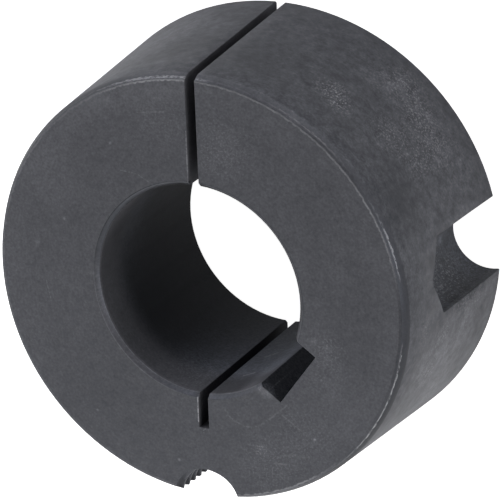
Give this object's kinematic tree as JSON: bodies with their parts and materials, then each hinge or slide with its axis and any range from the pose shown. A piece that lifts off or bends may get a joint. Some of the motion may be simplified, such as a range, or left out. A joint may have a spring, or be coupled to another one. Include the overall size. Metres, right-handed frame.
{
  "type": "split taper bushing",
  "caption": "Split taper bushing that clamps a pulley, sprocket or coupling hub on a keyed shaft, with half-round screw holes in its tapered wall.",
  "frame": {"origin": "centre of the bore at the face of the large end, which the bush stands on", "axes": "+Z along the bore from the large end to the small end, +Y through the split in the wall, and +X towards one of the plain screw half-holes, with the keyway between +X and -Y"},
  "size_m": [0.0568, 0.0568, 0.0254],
  "materials": {
    "phosphated_iron": "dark grey phosphate coat, semi-matte, worn bright along the rims"
  },
  "bodies": {
    "root": {"taper_bush": "phosphated_iron"}
  },
  "joints": []
}
